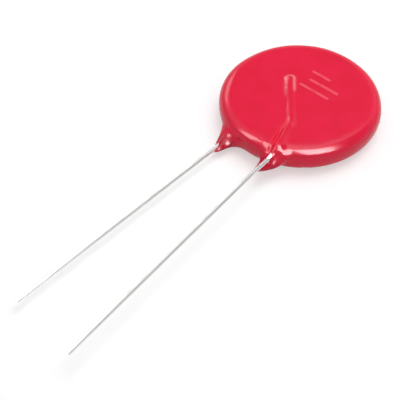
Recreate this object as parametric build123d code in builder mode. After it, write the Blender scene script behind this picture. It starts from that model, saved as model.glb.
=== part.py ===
from build123d import *
import os
from math import atan2, cos, radians, sin, sqrt, tan

# Disc varistor of the 20 mm class, lying on its back face, in millimetres.
# Frame: +Z is the front face's normal, the leads point along -Y, and the origin is the middle of the
# bounding box at its lowest point.
# The back of the part is its front turned half a turn about the disc's own Y axis.

# Zinc oxide disc and the silver layers fired on it
ceramic_dia = 20.0
ceramic_thick = 2.6
ceramic_edge = 0.15           # edge radius left by tumbling
electrode_margin = 0.8        # bare ring of ceramic around each silver layer
electrode_thick = 0.04

# Wire leads
wire_dia = 0.6
pitch = 7.5                   # between the leads where they leave the coat
lead_offset = 1.6             # between the planes that the two leads lie in
front_splay = 2.7             # how far each lead leans outwards past the coat, degrees
back_splay = 2.4
splay_radius = 3.0
front_reach = 48.7            # from the disc's centre down to the front lead's tip
back_reach = 47.4             # the other lead is cut a little shorter
snip_angle = 35.0             # slope of the cut end
inner_end = (-2.8, 1.4)       # the wire's end on the electrode, seen from its own face
knee = (2.5, -5.35)           # where the wire turns towards the pitch line
knee_radius = 2.0
edge_clearance = 0.35         # the wire runs this far past the ceramic before it drops
drop_run = 2.0                # length over which it drops to its own plane
drop_radius = 1.2

# Solder joints
solder_film = 0.04            # solder between the wire and the silver
solder_length = 5.0
solder_width = 1.9
solder_height = 0.42
solder_slope = 32.0           # taper of its flanks, degrees
solder_overrun = 0.9          # how far it reaches past the wire's end

# Dipped epoxy coat
coat_face = 0.66              # wall over the silver
coat_rim = 1.25               # wall around the ceramic's edge
coat_wire = 0.27              # wall over the wire, which makes the ridge
rim_bulge = 0.45              # how far the side stands out at mid-height
rim_round = 1.45              # edge radius between the side and a face
ridge_blend = 0.6             # fillet along the foot of the ridge

# Run-down cone on each lead: distance past the rim, half width and half height of its oval section
cone_sections = ((-1.8, 2.5, 1.1), (0.0, 1.5, 0.92), (1.3, 0.86, 0.7), (2.5, 0.52, 0.5))
cone_length = 3.6
cone_film = 0.06              # epoxy left on the wire at the cone's tip

# Derived sizes
wire_r = wire_dia / 2
ceramic_r = ceramic_dia / 2
electrode_r = ceramic_r - electrode_margin
electrode_top = ceramic_thick / 2 + electrode_thick
wire_level = electrode_top + solder_film + wire_r
coat_r = ceramic_r + coat_rim
coat_half = electrode_top + coat_face
ridge_r = wire_r + coat_wire
ridge_top = max(coat_half, wire_level + ridge_r)
exit_level = lead_offset / 2
disc_y = (max(front_reach, back_reach) - coat_r) / 2
centre = Vector(0, disc_y, ridge_top)

# Stations along a lead, from the disc's centre: over the ceramic's edge, at the rim and at the cone's tip
drop_y = -sqrt(ceramic_r**2 - (pitch / 2) ** 2) - edge_clearance
rim_y = -sqrt(coat_r**2 - (pitch / 2) ** 2)
cone_tip_y = rim_y - cone_length

sides = {"front": 1, "back": -1}
reach = {"front": front_reach, "back": back_reach}
splay = {"front": radians(front_splay), "back": radians(back_splay)}


def on_disc(x, y, z, side):
    """Point given from the disc's centre as seen from the front, turned to the back when side is -1."""
    return centre + Vector(side * x, y, side * z)


def across_exit(past, side):
    """Plane across a lead where it leaves the coat, at a distance past the rim."""
    return Plane(on_disc(pitch / 2, rim_y - past, exit_level, side), x_dir=(1, 0, 0), z_dir=(0, -1, 0))


def across_tip(face):
    """Plane across a lead at its tip, facing away from the disc."""
    run = reach[face] + cone_tip_y
    tip = on_disc(pitch / 2 + run * tan(splay[face]), -reach[face], exit_level, sides[face])
    return Plane(tip, x_dir=(0, 0, 1), z_dir=(sides[face] * sin(splay[face]), -cos(splay[face]), 0))


def wire_route(side, *beyond, bends=()):
    """Centre line of a wire as straight runs and tangent arcs, from its inner end through the given points.

    It runs diagonally over the electrode, turns at the knee, passes the ceramic's edge and drops to the
    lead's own plane.
    """
    return FilletPolyline(
        on_disc(*inner_end, wire_level, side),
        on_disc(*knee, wire_level, side),
        on_disc(pitch / 2, drop_y, wire_level, side),
        on_disc(pitch / 2, drop_y - drop_run, exit_level, side),
        *beyond,
        radius=[knee_radius, drop_radius, drop_radius, *bends],
    )


# Ceramic disc: pressed zinc oxide with its edges broken
with BuildPart() as ceramic_disc:
    with BuildSketch(Plane(centre).offset(-ceramic_thick / 2)):
        Circle(ceramic_r)
    extrude(amount=ceramic_thick)
    fillet(ceramic_disc.edges().filter_by(GeomType.CIRCLE), ceramic_edge)
ceramic_disc.part.label = "ceramic_disc"

# Electrodes: silver on both faces, short of the ceramic's edge
electrodes = {}
for face, side in sides.items():
    with BuildPart() as electrode:
        with BuildSketch(Plane(on_disc(0, 0, ceramic_thick / 2, side), z_dir=(0, 0, side))):
            Circle(electrode_r)
        extrude(amount=electrode_thick)
    electrode.part.label = f"{face}_electrode"
    electrodes[face] = electrode.part

# Leads: round wire on the electrode, over the ceramic's edge, down to its plane and straight out
leads = {}
for face, side in sides.items():
    cone_tip = across_exit(cone_length, side)
    tip = across_tip(face)
    with BuildPart() as lead:
        with BuildLine() as route:
            wire_route(side, cone_tip.origin, tip.offset(wire_dia).origin, bends=[splay_radius])
        with BuildSketch(Plane(route.line @ 0, z_dir=route.line % 0)):
            Circle(wire_r)
        sweep()
        split(bisect_by=tip.rotated((snip_angle, 0, 0)), keep=Keep.BOTTOM)
    lead.part.label = f"{face}_lead"
    leads[face] = lead.part

# Solder: a low loaf along the wire's end, wetted up both its sides
solders = {}
wire_angle = atan2(knee[1] - inner_end[1], knee[0] - inner_end[0])
along = solder_length / 2 - solder_overrun
for face, side in sides.items():
    loaf_centre = on_disc(
        inner_end[0] + along * cos(wire_angle), inner_end[1] + along * sin(wire_angle), electrode_top, side
    )
    loaf_plane = Plane(loaf_centre, x_dir=(side * cos(wire_angle), sin(wire_angle), 0), z_dir=(0, 0, side))
    with BuildPart() as solder:
        with BuildSketch(loaf_plane):
            SlotOverall(solder_length, solder_width)
        extrude(amount=solder_height, taper=solder_slope)
        add(leads[face], mode=Mode.SUBTRACT)
    solder.part.label = f"{face}_solder"
    solders[face] = solder.part

# Coat: rounded disc, a ridge over each wire and a run-down cone on each lead
with BuildPart() as coat:
    with BuildSketch(Plane(centre, x_dir=(1, 0, 0), z_dir=(0, -1, 0))) as section:
        with BuildLine():
            shoulder = coat_r - rim_bulge
            Line((0, -coat_half), (shoulder, -coat_half))
            ThreePointArc((shoulder, -coat_half), (coat_r, 0), (shoulder, coat_half))
            Polyline((shoulder, coat_half), (0, coat_half), (0, -coat_half))
        make_face()
        fillet(section.vertices().group_by(Axis.X)[-1], rim_round)
    revolve(axis=Axis(centre, (0, 0, 1)))
    for face, side in sides.items():
        with BuildLine() as route:
            wire_route(side, across_exit(cone_length / 2, side).origin)
        with BuildSketch(Plane(route.line @ 0, z_dir=route.line % 0)):
            Circle(ridge_r)
        sweep()
        with Locations(route.line @ 0):
            Sphere(ridge_r)
        flat = coat.faces().filter_by(Plane.XY).sort_by(Axis((0, 0, 0), (0, 0, side)))[-1]
        foot = flat.edges().filter_by(lambda edge: edge.length < coat_r)
        fillet(foot, ridge_blend)
        for past, half_width, half_height in cone_sections:
            with BuildSketch(across_exit(past, side)):
                Ellipse(half_width, half_height)
        with BuildSketch(across_exit(cone_length, side)):
            Circle(wire_r + cone_film)
        loft()
    for piece in (ceramic_disc.part, *electrodes.values(), *solders.values(), *leads.values()):
        add(piece, mode=Mode.SUBTRACT)
coat.part.label = "coat"

os.makedirs("parts", exist_ok=True)
for piece in (coat.part, ceramic_disc.part, *electrodes.values(), *solders.values(), *leads.values()):
    export_step(piece, f"parts/{piece.label}.step")
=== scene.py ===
import bpy
import numpy as np
from math import cos, pi, radians, sin, sqrt
from mathutils import Matrix, Vector


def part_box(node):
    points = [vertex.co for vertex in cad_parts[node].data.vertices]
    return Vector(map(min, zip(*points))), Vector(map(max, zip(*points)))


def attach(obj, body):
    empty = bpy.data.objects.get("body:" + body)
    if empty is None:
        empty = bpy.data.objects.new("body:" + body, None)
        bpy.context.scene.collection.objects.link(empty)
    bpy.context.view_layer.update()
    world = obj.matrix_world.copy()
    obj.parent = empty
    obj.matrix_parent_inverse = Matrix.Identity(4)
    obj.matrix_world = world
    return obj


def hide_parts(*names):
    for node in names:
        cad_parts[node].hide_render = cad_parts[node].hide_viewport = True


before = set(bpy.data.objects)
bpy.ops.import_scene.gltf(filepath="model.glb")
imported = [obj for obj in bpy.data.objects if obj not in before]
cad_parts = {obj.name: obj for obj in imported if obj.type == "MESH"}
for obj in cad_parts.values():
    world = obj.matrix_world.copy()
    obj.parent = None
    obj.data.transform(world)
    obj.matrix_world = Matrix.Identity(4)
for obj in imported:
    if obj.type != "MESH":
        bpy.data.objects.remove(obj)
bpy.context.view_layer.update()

# Camera ------------------------------------------------------------------------------------------
# A close-up lens looks down on the part from beyond the tips of its leads, over the front lead, and
# turns a little about its own axis.
MM = 0.001
camera_target = Vector((1.2, -3.5, 2.2)) * MM
camera_azimuth = radians(42.4)
camera_elevation = radians(50.1)
camera_roll = radians(-0.9)
camera_distance = 110.5 * MM
turn = Matrix.Rotation(camera_azimuth, 3, "Z")
lift = Matrix.Rotation(-camera_elevation, 3, "X")
towards_camera = turn @ lift @ Vector((0, -1, 0))
camera = bpy.data.objects.new("camera", bpy.data.cameras.new("camera"))
bpy.context.scene.collection.objects.link(camera)
camera.data.sensor_width = 36.0
camera.data.lens = 78.3
camera.data.clip_start = 5 * MM
camera.location = camera_target + camera_distance * towards_camera
aim = (-towards_camera).to_track_quat("-Z", "Y").to_matrix()
camera.rotation_euler = (aim @ Matrix.Rotation(camera_roll, 3, "Z")).to_euler()
bpy.context.scene.camera = camera

# Ceramic disc ------------------------------------------------------------------------------------
# The working part, sealed inside: zinc oxide grains with traces of other oxides, pressed and fired to a
# dark, slightly rough biscuit with pale grain boundaries.
def finish(name, metallic, roughness):
    """A node material with plain constants on its shader, and that material's nodes, links and shader."""
    material = bpy.data.materials.new(name)
    material.use_nodes = True
    tree = material.node_tree
    shader = tree.nodes["Principled BSDF"]
    shader.inputs["Metallic"].default_value = metallic
    shader.inputs["Roughness"].default_value = roughness
    return material, tree.nodes, tree.links, shader


def noise(nodes, links, scale, detail, stretch=(1, 1, 1)):
    """Noise on Object coordinates, in features per metre, stretched by a Mapping node."""
    place = nodes.new("ShaderNodeTexCoord")
    mapping = nodes.new("ShaderNodeMapping")
    mapping.inputs["Scale"].default_value = stretch
    links.new(place.outputs["Object"], mapping.inputs["Vector"])
    node = nodes.new("ShaderNodeTexNoise")
    node.inputs["Scale"].default_value = scale
    node.inputs["Detail"].default_value = detail
    links.new(mapping.outputs["Vector"], node.inputs["Vector"])
    return node.outputs["Fac"]


def ramp(nodes, links, value, low, high, start=0.0, end=1.0):
    """A smooth Map Range from low..high to start..end."""
    node = nodes.new("ShaderNodeMapRange")
    node.interpolation_type = "SMOOTHSTEP"
    node.inputs["From Min"].default_value = low
    node.inputs["From Max"].default_value = high
    node.inputs["To Min"].default_value = start
    node.inputs["To Max"].default_value = end
    links.new(value, node.inputs["Value"])
    return node.outputs["Result"]


def blend_colours(nodes, links, share, first, second):
    """Mix two colours, each a socket or a plain colour, by the socket share."""
    node = nodes.new("ShaderNodeMix")
    node.data_type = "RGBA"
    links.new(share, node.inputs[0])
    for socket, colour in ((node.inputs[6], first), (node.inputs[7], second)):
        if isinstance(colour, tuple):
            socket.default_value = colour
        else:
            links.new(colour, socket)
    return node.outputs[2]


def bump(nodes, links, height, distance):
    """Feed a height, times distance in metres, to the shader's normal."""
    node = nodes.new("ShaderNodeBump")
    node.inputs["Strength"].default_value = 1.0
    node.inputs["Distance"].default_value = distance
    links.new(height, node.inputs["Height"])
    links.new(node.outputs["Normal"], nodes["Principled BSDF"].inputs["Normal"])


def dress(material, *names):
    """Put the material on carried-over CAD nodes."""
    for name in names:
        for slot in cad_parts[name].material_slots:
            slot.material = material


grain_dark = (0.08, 0.09, 0.085, 1)
grain_pale = (0.21, 0.22, 0.2, 1)
biscuit, nodes, links, shader = finish("fired_zinc_oxide", metallic=0.0, roughness=0.7)
grain = ramp(nodes, links, noise(nodes, links, 9000, 4), 0.4, 0.7)
tone = blend_colours(nodes, links, grain, grain_dark, grain_pale)
links.new(tone, shader.inputs["Base Color"])
bump(nodes, links, grain, 0.01 * MM)
dress(biscuit, "ceramic_disc")

# Electrodes --------------------------------------------------------------------------------------
# Silver paste, screened on both faces of the disc and fired on. It stops short of the edge, so that no
# spark can jump round it, and its satin surface keeps a trace of the screen's weave.
silver_grey = (0.8, 0.79, 0.76, 1)
silver_white = (0.9, 0.89, 0.86, 1)
silver, nodes, links, shader = finish("fired_silver", metallic=1.0, roughness=0.42)
weave = noise(nodes, links, 4000, 2, stretch=(1, 1, 0.2))
tone = blend_colours(nodes, links, weave, silver_grey, silver_white)
links.new(tone, shader.inputs["Base Color"])
bump(nodes, links, weave, 0.006 * MM)
dress(silver, "front_electrode", "back_electrode")

# Leads -------------------------------------------------------------------------------------------
# Tinned copper wire, 0.6 mm, drawn and then plated: bright, with faint lines along it. Each tip was cut
# with side cutters, so its slanted face shows the copper, with tin smeared over one edge.
tin_grey = (0.91, 0.905, 0.89, 1)
tin_bright = (0.95, 0.945, 0.93, 1)
bare_copper = (0.72, 0.31, 0.17, 1)
smeared_tin = (0.85, 0.8, 0.76, 1)
tin, nodes, links, shader = finish("tin_plate", metallic=0.8, roughness=0.14)
drawn = noise(nodes, links, 9000, 3, stretch=(1, 0.03, 1))
cloud = noise(nodes, links, 1200, 3)
tone = blend_colours(nodes, links, cloud, tin_grey, tin_bright)
surface = nodes.new("ShaderNodeNewGeometry")
facing = nodes.new("ShaderNodeVectorMath")
facing.operation = "DOT_PRODUCT"
facing.inputs[1].default_value = (0, -1, 0)
links.new(surface.outputs["True Normal"], facing.inputs[0])
cut = ramp(nodes, links, facing.outputs["Value"], 0.6, 0.7)     # only the cut face looks down the leads
smear = ramp(nodes, links, noise(nodes, links, 3000, 2), 0.42, 0.56)
copper = blend_colours(nodes, links, smear, bare_copper, smeared_tin)
links.new(blend_colours(nodes, links, cut, tone, copper), shader.inputs["Base Color"])
bump(nodes, links, drawn, 0.004 * MM)
dress(tin, "front_lead", "back_lead")

# Solder ------------------------------------------------------------------------------------------
# Tin solder. Each wire's end lies flat on its electrode under a smooth fillet, which wetted both as the
# part was dipped in the bath, and set bright with slow ripples.
solder_grey = (0.66, 0.66, 0.67, 1)
solder_bright = (0.78, 0.78, 0.79, 1)
solder, nodes, links, shader = finish("solder", metallic=1.0, roughness=0.3)
ripple = noise(nodes, links, 1500, 3)
tone = blend_colours(nodes, links, ripple, solder_grey, solder_bright)
links.new(tone, shader.inputs["Base Color"])
bump(nodes, links, ripple, 0.02 * MM)
dress(solder, "front_solder", "back_solder")

# Coat --------------------------------------------------------------------------------------------
# The finished disc is preheated and dipped in red epoxy, which melts over it, draws into a round rim,
# stays proud over the wires and runs a little way down both leads before it cures to a hard gloss.
# The tops of the wires stay bare along the run-down cones.

# Sizes are in mm from the disc's centre, as seen from the front. The back is the front turned half a turn
# about the disc's own Y axis; where a front and a back value differ, 1 is the front and -1 the back.
ceramic_low, ceramic_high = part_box("ceramic_disc")
coat_low, coat_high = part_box("coat")
disc_centre = np.array((ceramic_low + ceramic_high) / 2) / MM
coat_r = (coat_high.x - coat_low.x) / 2 / MM
coat_half = 2.0
shoulder = 2.25                 # the face starts to fall away this far inside the rim
disc_power = 2.5                # how square the rim's section is; 2 is an ellipse
rim_changes = (                 # added radius, and the angle and width of the place in radians
    (-0.14, 2.88, 0.36),
    (0.07, 1.92, 0.25),
    (0.08, 0.36, 0.25),
)
wave_height = 0.012             # unevenness of the faces
lead_x = 3.75                   # half the pitch
exit_level = 0.8                # of each wire where it leaves the coat, from the disc's middle plane
rim_y = -sqrt(coat_r**2 - lead_x**2)
cone_length = 3.6
cone_root = (1.3, 1.1)          # half width and half height where the cone leaves the rim
cone_tip = (0.2, 0.15)
cone_bulge = (1.4, 1.6)         # 1 would be a straight cone; more is fuller
cone_tall = {1: 1.0, -1: 0.78}  # the back one is flatter
cone_power = {1: 1.5, -1: 1.9}  # the front one is nearly a gable, with the wire along the top
cone_web = {1: 1.3, -1: 1.6}    # width of the blend between cone and disc
core_length = 3.2               # the core that the skin's grid is drawn from, a little way inside
core_tip = 0.08
core_root = 1.1                 # half width that the core's tongue gains from its tip to the rim
core_web = 3.2
wire_r = 0.3
wire_level = 1.68               # of the wires' middle where they lie on the disc
inner_end = (-2.8, 1.4)         # the wire's end on the electrode
knee = (2.5, -5.35)
drop_y = -9.62                  # here the wire starts to drop over the ceramic's edge
drop_run = 2.0
ridge_run = np.array([(*inner_end, wire_level), (*knee, wire_level), (lead_x, drop_y, wire_level),
                      (lead_x, drop_y - drop_run, exit_level)])
end_swell = 0.27                # the ridge's first run is as thick as the wire, and swells at both ends
knee_swell = 0.18
swell_width = 0.22              # as a share of the run
second_radius = (0.36, 0.42)    # at the knee and at the edge
drop_thinning = 0.24            # as the ridge goes over the edge
run_blend = 0.3                 # width of the blend between runs
ridge_blend = 0.7               # and between ridge and face
groove_aside = -0.72            # a groove beside the second run, on its inner side
groove_width = 0.3
groove_depth = 0.34
groove_middle = 0.72            # as a share of the run
groove_length = 0.5
# A highlight painted on the coat: a pale horseshoe round each wire's buried end, beside the first run.
horseshoe_out = 0.6                  # its distance from the first run's line, and its width
horseshoe_width = 0.19
horseshoe_shift = 0.12               # to the outer side
horseshoe_fades = (1.8, 3.5)         # along the run, from its end


def smooth_min(a, b, blend):
    """The smaller of two fields, rounded off where they differ by less than blend."""
    near = np.clip(blend - np.abs(a - b), 0, None) / blend
    return np.minimum(a, b) - near**2 * blend / 4


def rise(value, start, end):
    """0 before start, 1 after end, and 3 t^2 - 2 t^3 between them."""
    t = np.clip((value - start) / (end - start), 0, 1)
    return t * t * (3 - 2 * t)


def hump(value, centre, width):
    """The bell exp(-t^2), with t the distance from its centre in widths."""
    return np.exp(-(((value - centre) / width) ** 2))


def rim_radius(angle):
    """The coat's radius plus a bell for each change: a flat, and two places where the epoxy ran together."""
    radius = coat_r
    for added, at, width in rim_changes:
        radius = radius + added * hump(np.mod(angle - at + pi, 2 * pi), pi, width)
    return radius


def cone_size(past, axis):
    """Half width (axis 0) or half height (1) of a cone: tip + (root - tip) (1 - share^bulge)."""
    share = np.clip(past, 0, cone_length) / cone_length
    return cone_tip[axis] + (cone_root[axis] - cone_tip[axis]) * (1 - share ** cone_bulge[axis])


def cone_middle(past, side):
    """The cone's middle in x and z: its top falls from over the wire to below the wire's top, and bares it.

    past is the distance down the lead from the rim. The front wire is still dropping at the cone's root, and
    the cone's top goes down with it. The back cone sinks towards its tip, and both lean a little inwards.
    """
    if side == 1:
        wire = exit_level + (wire_level - exit_level) * (1 - rise(past, -1.1, 1.1))
        top = wire + wire_r - 0.34 * rise(past, -1.0, 0.4)
        middle_x = lead_x - 0.12 * rise(past, 0.0, 1.5)
    else:
        top = -exit_level + 0.7 - 0.4 * rise(past, -0.5, 2.6) - 0.2 * rise(past, 2.2, 3.4)
        middle_x = -lead_x + 0.2 * rise(past, 1.0, 3.0)
    return middle_x, top - cone_tall[side] * cone_size(past, 1)


def run_distance(points, start, end):
    """Distance from points to the straight run start-end, and the share of the run at the nearest place."""
    run = end - start
    share = np.clip((points - start) @ run / (run @ run), 0, 1)
    return np.linalg.norm(points - start - share[..., None] * run, axis=-1), share


def coat_field(points):
    """Below 0 inside the coat, and about the distance in mm outside it.

    Body: the power mean of the distance past the shoulder and of |z| / half thickness, plus a slow wave.
    Cones: the power mean of |x| / half width and |z| / half height, which shrink along the lead. Ridges: the
    distance to the wire's runs less a radius, with a groove beside the second run. All are joined smoothly.
    """
    x, y, z = np.moveaxis(points, -1, 0)
    inward = (np.hypot(x, y) - rim_radius(np.arctan2(y, x)) + shoulder) / shoulder
    wave = np.sin(1.7 * x + 0.9 * y + 0.6) * np.sin(1.3 * y - 0.8 * x + 1.9) + np.sin(0.9 * x - 1.1 * y)
    wave = wave_height * wave * (1 - rise(inward, 0, 0.5))
    inward = np.clip(inward, 0, None)
    body = (inward**disc_power + np.abs(z / coat_half) ** disc_power) ** (1 / disc_power)
    field = coat_half * (body - 1) + wave

    past = rim_y - y
    beyond = np.clip(past - cone_length + cone_tip[0], 0, None) / cone_tip[0]   # rounds off the tip
    inside_disc = np.clip(-past - 0.5, 0, None)                                 # ends the cone in the disc
    for side in (1, -1):
        half_width = cone_size(past, 0)
        half_height = cone_tall[side] * cone_size(past, 1)
        middle_x, middle_z = cone_middle(past, side)
        power = cone_power[side]
        across = np.abs((x - middle_x) / half_width) ** power + np.abs((z - middle_z) / half_height) ** power
        across = (across + beyond**power) ** (1 / power)
        cone = (across - 1) * 0.8 * half_width + 0.5 * inside_disc              # nearly a distance
        field = smooth_min(field, cone, cone_web[side])

    run = ridge_run[2] - ridge_run[1]
    for side in (1, -1):
        own = points * (side, 1, side)
        first, share = run_distance(own, ridge_run[0], ridge_run[1])
        swell = end_swell * hump(share, 0, swell_width) + knee_swell * hump(share, 1, swell_width)
        first = first - (wire_r + swell)
        second, share = run_distance(own, ridge_run[1], ridge_run[2])
        second = second - (second_radius[0] + (second_radius[1] - second_radius[0]) * share)
        third, share = run_distance(own, ridge_run[2], ridge_run[3])
        third = third - (second_radius[1] - drop_thinning * rise(share, 0.25, 0.6))
        ridge = smooth_min(smooth_min(first, second, run_blend), third, run_blend)
        field = smooth_min(field, ridge, ridge_blend)
        along = ((own - ridge_run[1]) @ run) / (run @ run)
        aside = (own[..., 0] - ridge_run[1][0]) * -run[1] + (own[..., 1] - ridge_run[1][1]) * run[0]
        aside = aside / np.hypot(run[0], run[1])
        groove = hump(aside, groove_aside, groove_width) * hump(along, groove_middle, groove_length)
        own_face = rise(own[..., 2], 0.1, 1.2)
        field = field + groove_depth * groove * own_face
    return field


def leave(field, start, direction, reach, halvings=26):
    """Distance along each ray, up to reach, to where the field turns positive, by halving."""
    low = np.zeros(start.shape[:-1])
    high = low + reach
    for _ in range(halvings):
        middle = (low + high) / 2
        inside = field(start + middle[..., None] * direction) < 0
        low = np.where(inside, middle, low)
        high = np.where(inside, high, middle)
    return low[..., None]


def slope_of(field, points, step=1e-3):
    """The field's unit slope at points, from differences over one step to each side."""
    axes = step * np.eye(points.shape[-1])
    slope = np.stack([field(points + axis) - field(points - axis) for axis in axes], axis=-1)
    return slope / np.linalg.norm(slope, axis=-1, keepdims=True)


def core_field(x, y):
    """Distance outside the coat's core seen from the front: a disc, with a tongue down each lead.

    The tongue narrows evenly to a small round end; a wide blend joins it to the disc.
    """
    field = np.hypot(x, y) - coat_r + shoulder
    past = rim_y - y
    half_width = core_tip + core_root * (1 - np.clip(past, -4, core_length) / core_length)
    beyond = np.clip(past - core_length, 0, None)
    inside_disc = np.clip(-past - 2.5, 0, None)
    for side in (1, -1):
        across = np.hypot(x - cone_middle(past, side)[0], beyond) - half_width
        field = smooth_min(field, across + inside_disc, core_web)
    return field


def coat_grid(around, face, fan):
    """Rings of points on the coat, from the front pole to the back pole.

    Plan lines leave the centre, turn down along the leads and crowd there, and end on the core's outline.
    From them rays go straight up and down to the skin, and fan from the core's outline over the rim.
    """
    # Lines are spokes inside the gate's radius. Towards each lead they stand up to 18 times as close.
    gate = 7.5
    leads = [np.arctan2(-sqrt(gate**2 - lead_x**2), side * lead_x) % (2 * pi) for side in (1, -1)]
    fine = np.linspace(0, 2 * pi, 7200, endpoint=False)
    crowd = np.cumsum(1 + sum(5 * hump(fine, lead, 0.2) + 12 * hump(fine, lead, 0.03) for lead in leads))
    angle = np.interp((np.arange(around) + 0.5) / around, (crowd - crowd[0]) / (crowd[-1] - crowd[0]), fine)
    start = gate * np.stack([np.cos(angle), np.sin(angle)], axis=-1)
    # Past the gate those in the lower half and near the middle go straight down.
    down = ((1 - rise(np.abs(start[:, 0]), 4.6, 7.4)) * (start[:, 1] < 0))[:, None]
    onward = start / gate * (1 - down) + down * (0.0, -1.0)
    onward = onward / np.linalg.norm(onward, axis=-1, keepdims=True)

    def outline(points):
        return core_field(points[..., 0], points[..., 1])

    core = start + leave(outline, start, onward, reach=8.0) * onward
    outward = slope_of(outline, core)
    # Near a lead the rings leave the disc's middle plane for the cone's.
    past = rim_y - core[:, 1]
    level = 0.0
    for side in (1, -1):
        near = rise(past, -2.0, 1.0) / (1 + ((core[:, 0] - side * lead_x) / 2.0) ** 4)
        level = level + cone_middle(past, side)[1] * near

    # Rings are closer together towards the rim. Lines that end on a tongue are at its width by the rim.
    share = (np.arange(1, face + 1) / face)[:, None]
    share = share + 0.12 * np.sin(pi * share)
    bend = np.clip(share * np.maximum(core[:, 1] / rim_y, 1), None, 1)
    plan = np.stack([core[:, 0] * np.where(core[:, 1] < rim_y, bend, share), core[:, 1] * share], axis=-1)
    middle = level * rise(rim_y - plan[..., 1], -2.0, 0.5)
    start = np.concatenate([plan, middle[..., None]], axis=-1)
    up = np.array([0.0, 0.0, 1.0])
    top = start + leave(coat_field, start, up, reach=4.0) * up
    bottom = start - leave(coat_field, start, -up, reach=4.0) * up

    tilt = (pi / 2 - pi * np.arange(1, fan)[:, None] / fan)[..., None]
    flat = np.concatenate([outward, np.zeros((around, 1))], axis=-1)
    direction = np.cos(tilt) * flat + np.sin(tilt) * up
    start = np.broadcast_to(start[-1], direction.shape)
    rim = start + leave(coat_field, start, direction, reach=6.0) * direction
    poles = [leave(coat_field, np.zeros((1, 3)), side * up, reach=4.0) * side * up for side in (1, -1)]
    return np.concatenate([top, rim, bottom[::-1]]), poles


def closed_skin(name, rings, poles):
    """A closed mesh from rings of points in mm, first to last, with one vertex at each pole."""
    count, around = rings.shape[:2]
    here = np.arange(around)
    there = (here + 1) % around
    ring = np.arange(count - 1)[:, None] * around
    quads = np.stack([ring + here, ring + around + here, ring + around + there, ring + there], axis=-1)
    last = (count - 1) * around
    front = np.stack([np.full(around, count * around), here, there], axis=-1)
    back = np.stack([np.full(around, count * around + 1), last + there, last + here], axis=-1)
    mesh = bpy.data.meshes.new(name)
    vertices = np.concatenate([rings.reshape(-1, 3), *poles]) * MM
    mesh.from_pydata(vertices.tolist(), [], quads.reshape(-1, 4).tolist() + front.tolist() + back.tolist())
    mesh.polygons.foreach_set("use_smooth", np.ones(len(mesh.polygons), bool))
    mesh.update()
    piece = bpy.data.objects.new(name, mesh)
    bpy.context.scene.collection.objects.link(piece)
    return piece


rings, poles = coat_grid(around=440, face=76, fan=44)
coat_skin = closed_skin("coat_skin", rings + disc_centre, [pole + disc_centre for pole in poles])
points = np.concatenate([rings.reshape(-1, 3), *poles])
coat_skin.data.normals_split_custom_set_from_vertices(slope_of(coat_field, points).tolist())


def horseshoe_highlight_share(points):
    """1 where a highlight is painted round the buried end of each wire: a horseshoe beside its first run.

    The bell of the distance from the run's line, which fades away along the run, and sooner on one side.
    """
    own = points * np.sign(points[:, 2:]) ** (1, 0, 1)
    run = ridge_run[1, :2] - ridge_run[0, :2]
    run = run / np.linalg.norm(run)
    away = own[:, :2] - ridge_run[0, :2]
    along = away @ run
    aside = away @ (run[1], -run[0]) - horseshoe_shift
    ring = np.hypot(aside, np.minimum(along, 0))
    fade = 1 - rise(along, horseshoe_fades[0], horseshoe_fades[1] + 0.5 * np.sign(aside))
    on_face = np.abs(own[:, 2]) > 1.5
    return hump(ring, horseshoe_out, horseshoe_width) * fade * on_face


coat_skin.data.attributes.new("painted_horseshoe", "FLOAT", "POINT").data.foreach_set("value", horseshoe_highlight_share(points))
# Painted shade: the coat is darkened from the rim down along the cones on the leads, for the shade that
# falls on them.
cone_shade_share = rise(rim_y - points[:, 1], 0.1, 1.3)
coat_skin.data.attributes.new("painted_cone_shade", "FLOAT", "POINT").data.foreach_set("value", cone_shade_share)


def link_math(nodes, links, operation, *values):
    """A Math node whose inputs are sockets or plain numbers; its result's socket."""
    node = nodes.new("ShaderNodeMath")
    node.operation = operation
    for place, value in enumerate(values):
        if isinstance(value, (int, float)):
            node.inputs[place].default_value = value
        else:
            links.new(value, node.inputs[place])
    return node.outputs["Value"]


red = (0.84, 0.006, 0.046, 1)
red_light = (0.88, 0.007, 0.054, 1)
# The next colour is painted shade for the cones on the leads, and the one after it a painted highlight round
# the wires' buried ends.
red_shaded = (0.54, 0.004, 0.034, 1)      # on the leads
red_highlight = (0.97, 0.23, 0.25, 1)        # round the wires' buried ends
stamp_pink = (0.97, 0.11, 0.16, 1)
epoxy, nodes, links, shader = finish("red_epoxy", metallic=0.0, roughness=0.17)
shader.inputs["IOR"].default_value = 1.4
cloud = ramp(nodes, links, noise(nodes, links, 260, 3), 0.35, 0.65)
colour = blend_colours(nodes, links, cloud, red, red_light)

# A generic mark on the front: three plain bars, stamped pale and a little worn.
bars = ((1.5, -1.1, 3.4), (3.1, -0.6, 3.9), (4.7, -1.3, 1.5))   # height over the centre, left end, right end
bar_edge = (0.1, 0.32)                                          # solid inside the first, gone at the second
place = nodes.new("ShaderNodeTexCoord")
axes = nodes.new("ShaderNodeSeparateXYZ")
links.new(place.outputs["Object"], axes.inputs[0])
mark = 0.0
for row, left, right in bars:
    off_row = link_math(nodes, links, "SUBTRACT", axes.outputs["Y"], float(disc_centre[1] + row) * MM)
    off_middle = link_math(nodes, links, "SUBTRACT", axes.outputs["X"], (left + right) / 2 * MM)
    off_middle = link_math(nodes, links, "ABSOLUTE", off_middle)
    off_end = link_math(nodes, links, "SUBTRACT", off_middle, (right - left) / 2 * MM)
    off_end = link_math(nodes, links, "MAXIMUM", off_end, 0.0)
    row_squared = link_math(nodes, links, "MULTIPLY", off_row, off_row)
    end_squared = link_math(nodes, links, "MULTIPLY", off_end, off_end)
    off = link_math(nodes, links, "SQRT", link_math(nodes, links, "ADD", row_squared, end_squared))
    bar = ramp(nodes, links, off, bar_edge[0] * MM, bar_edge[1] * MM, 1.0, 0.0)
    mark = link_math(nodes, links, "MAXIMUM", bar, mark)
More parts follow.
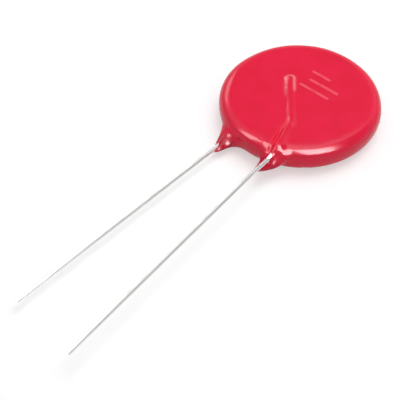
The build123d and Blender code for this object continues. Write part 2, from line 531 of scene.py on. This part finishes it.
face_level = float(disc_centre[2] + coat_half) * MM
front_side = ramp(nodes, links, axes.outputs["Z"], face_level - 0.5 * MM, face_level - 0.2 * MM)
worn = ramp(nodes, links, noise(nodes, links, 900, 4), 0.3, 0.6, 0.4, 0.9)
mark = link_math(nodes, links, "MULTIPLY", link_math(nodes, links, "MULTIPLY", mark, front_side), worn)
colour = blend_colours(nodes, links, mark, colour, stamp_pink)

# Painted shade: the cones down the leads take the darker red.
painted_cone_shade = nodes.new("ShaderNodeAttribute")
painted_cone_shade.attribute_name = "painted_cone_shade"
colour = blend_colours(nodes, links, painted_cone_shade.outputs["Fac"], colour, red_shaded)
# Painted highlight: a pale, uneven horseshoe round each wire's buried end.
painted_horseshoe = nodes.new("ShaderNodeAttribute")
painted_horseshoe.attribute_name = "painted_horseshoe"
uneven = ramp(nodes, links, noise(nodes, links, 1100, 2), 0.35, 0.6, 0.55, 1.0)
pale = link_math(nodes, links, "MULTIPLY", painted_horseshoe.outputs["Fac"], uneven)
colour = blend_colours(nodes, links, pale, colour, red_highlight)
links.new(colour, shader.inputs["Base Color"])

ink_height = link_math(nodes, links, "MULTIPLY", mark, 0.8)
skin = link_math(nodes, links, "ADD", noise(nodes, links, 700, 2), ink_height)
bump(nodes, links, skin, 0.004 * MM)
coat_skin.data.materials.append(epoxy)
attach(coat_skin, "root")
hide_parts("coat")

# Floor and light ---------------------------------------------------------------------------------
# A white table in a light tent. One overhead softbox models the form and drops a soft shadow; four more
# boxes only draw the highlights on the gloss, and so does the tent, whose glow is uneven.
def shine_mask(nodes, links, mirrored=1.0):
    """A mask of rays, and a mask of camera rays alone.

    The first is 1 for camera rays, mirrored for mirror and see-through rays, 0 for light falling on things.
    """
    rays = nodes.new("ShaderNodeLightPath")
    mask = rays.outputs["Is Camera Ray"]
    for name in ("Is Glossy Ray", "Is Transmission Ray"):
        other = link_math(nodes, links, "MULTIPLY", rays.outputs[name], mirrored)
        mask = link_math(nodes, links, "MAXIMUM", mask, other)
    return mask, rays.outputs["Is Camera Ray"]


def toward(azimuth, elevation):
    """A unit vector; azimuth is counted from -Y towards +X, in degrees."""
    azimuth = radians(azimuth)
    elevation = radians(elevation)
    return Vector((sin(azimuth) * cos(elevation), -cos(azimuth) * cos(elevation), sin(elevation)))


world = bpy.data.worlds.new("light_tent")
bpy.context.scene.world = world
world.use_nodes = True
nodes = world.node_tree.nodes
links = world.node_tree.links
sky = nodes.new("ShaderNodeTexCoord")


def patch(azimuth, elevation, inner, outer, centre, rim):
    """A round patch of the tent: centre's value inside inner degrees, rim's outside outer degrees."""
    dot = nodes.new("ShaderNodeVectorMath")
    dot.operation = "DOT_PRODUCT"
    dot.inputs[1].default_value = toward(azimuth, elevation)
    links.new(sky.outputs["Generated"], dot.inputs[0])
    return ramp(nodes, links, dot.outputs["Value"], cos(radians(outer)), cos(radians(inner)), rim, centre)


fill_level = 0.55               # what the world gives to the light that falls on things
tent_limit = 4.0
height = nodes.new("ShaderNodeSeparateXYZ")
links.new(sky.outputs["Generated"], height.inputs[0])
climb = ramp(nodes, links, height.outputs["Z"], -0.2, 1.0, 0.3, 1.3)    # brighter towards the top
haze_flag = patch(-143, 48, 14, 38, 0.32, 1.0)                          # dims the haze on the faces
bright_side = patch(84, 62, 0, 52, 2.2, 0.0)                            # lights up the gloss of the rim
wire_flag = patch(119, 46, 18, 35, 0.1, 1.0)                            # draws a dark line down the wires
tent = link_math(nodes, links, "MULTIPLY", haze_flag, climb)
tent = link_math(nodes, links, "ADD", tent, bright_side)
tent = link_math(nodes, links, "MULTIPLY", tent, wire_flag)
# Camera rays see exactly 1, which is white; other shining rays see the tent, up to its limit.
mask, seen = shine_mask(nodes, links)
tent = link_math(nodes, links, "MAXIMUM", tent, seen)
ceiling = link_math(nodes, links, "MULTIPLY", seen, tent_limit - 1)
ceiling = link_math(nodes, links, "SUBTRACT", tent_limit, ceiling)
tent = link_math(nodes, links, "MINIMUM", tent, ceiling)
level = nodes.new("ShaderNodeMix")
links.new(mask, level.inputs[0])
level.inputs[2].default_value = fill_level
links.new(tent, level.inputs[3])
links.new(level.outputs[0], nodes["Background"].inputs["Strength"])
nodes["Background"].inputs["Color"].default_value = (1, 1, 1, 1)

# The table glows a little for the eye and in the gloss, more so far away, where the lamps don't reach.
bpy.ops.mesh.primitive_plane_add(size=2.0)
floor = bpy.context.object
floor.name = "floor"
table, nodes, links, shader = finish("white_table", metallic=0.0, roughness=1.0)
shader.inputs["Base Color"].default_value = (0.6, 0.6, 0.6, 1)
shader.inputs["Specular IOR Level"].default_value = 0.0
shader.inputs["Emission Color"].default_value = (1, 1, 1, 1)
glow = shine_mask(nodes, links, mirrored=0.6)[0]
place = nodes.new("ShaderNodeTexCoord")
distance = nodes.new("ShaderNodeVectorMath")
distance.operation = "LENGTH"
links.new(place.outputs["Object"], distance.inputs[0])
far = ramp(nodes, links, distance.outputs["Value"], 0.08, 0.6, 0.47, 0.8)
links.new(link_math(nodes, links, "MULTIPLY", glow, far), shader.inputs["Emission Strength"])
floor.data.materials.append(table)


lamp_distance = 0.35


def softbox(name, azimuth, elevation, size, radiance, form=False):
    """A rectangular lamp, size wide and high in metres, that faces the disc from a fixed distance.

    Its power is radiance times pi times its area. With form it lights things and stays out of the gloss;
    otherwise it is seen only in the gloss.
    """
    lamp = bpy.data.objects.new(name, bpy.data.lights.new(name, "AREA"))
    bpy.context.scene.collection.objects.link(lamp)
    lamp.data.shape = "RECTANGLE"
    lamp.data.size, lamp.data.size_y = size
    lamp.data.energy = radiance * pi * size[0] * size[1]
    away = toward(azimuth, elevation)
    lamp.location = Vector(disc_centre) * MM + lamp_distance * away
    lamp.rotation_euler = away.to_track_quat("Z", "Y").to_euler()
    lamp.visible_camera = False
    lamp.visible_glossy = not form
    lamp.visible_diffuse = form


softbox("overhead", 180, 72, (0.25, 0.25), 3.0, form=True)
softbox("key", 66, 46, (0.22, 0.28), 15)
softbox("key_edge", 70, 49, (0.27, 0.30), 3)
softbox("left_box", -36, 41, (0.11, 0.21), 10)
softbox("left_strip", -108, 30, (0.17, 0.08), 3.2)

bpy.context.scene.view_settings.view_transform = "Standard"
